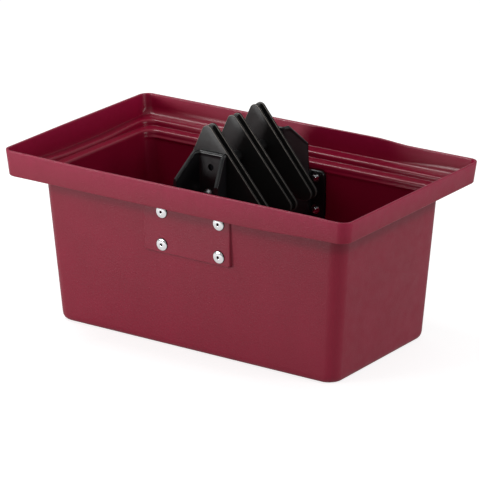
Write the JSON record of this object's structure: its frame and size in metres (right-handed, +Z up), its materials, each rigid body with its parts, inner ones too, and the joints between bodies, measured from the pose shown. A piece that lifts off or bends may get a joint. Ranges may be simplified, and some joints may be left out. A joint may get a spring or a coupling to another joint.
{
  "type": "art supply box",
  "caption": "Open moulded plastic tub with a wide flared rim and a black rack of grooved saddles and pockets riveted across the middle, for carrying hand tools and supplies.",
  "frame": {"origin": "centre of the tub's underside, on the surface it stands on", "axes": "+X along the tub's length, +Y from the front wall to the back wall, +Z up"},
  "size_m": [0.4996, 0.2938, 0.2716],
  "materials": {
    "tub_plastic": "burgundy polyethylene, finely pebbled, soft sheen",
    "bracket_plastic": "black moulded plastic, satin",
    "saddle_plastic": "black sheet plastic, satin faces with lighter sawn edges",
    "spacer_plastic": "black tube, plain",
    "rivet_metal": "bright polished blind rivets",
    "bolt_steel": "zinc-plated steel",
    "rod_steel": "blackened steel"
  },
  "bodies": {
    "root": {"tub": "tub_plastic", "front_bracket": "bracket_plastic", "rear_bracket": "bracket_plastic", "front_saddle_front_cheek": "saddle_plastic", "front_saddle_core": "saddle_plastic", "front_saddle_rear_cheek": "saddle_plastic", "middle_saddle_front_cheek": "saddle_plastic", "middle_saddle_core": "saddle_plastic", "middle_saddle_rear_cheek": "saddle_plastic", "rear_saddle_front_cheek": "saddle_plastic", "rear_saddle_core": "saddle_plastic", "rear_saddle_rear_cheek": "saddle_plastic", "front_upper_spacer": "spacer_plastic", "rear_upper_spacer": "spacer_plastic", "front_lower_spacer": "spacer_plastic", "rear_lower_spacer": "spacer_plastic", "front_rivets": "rivet_metal", "rear_rivets": "rivet_metal", "front_rivet_washers": "rivet_metal", "rear_rivet_washers": "rivet_metal", "tie_bolt": "bolt_steel", "tie_bolt_washers": "bolt_steel", "tie_bolt_nut": "bolt_steel", "locating_rod": "rod_steel"}
  },
  "joints": []
}
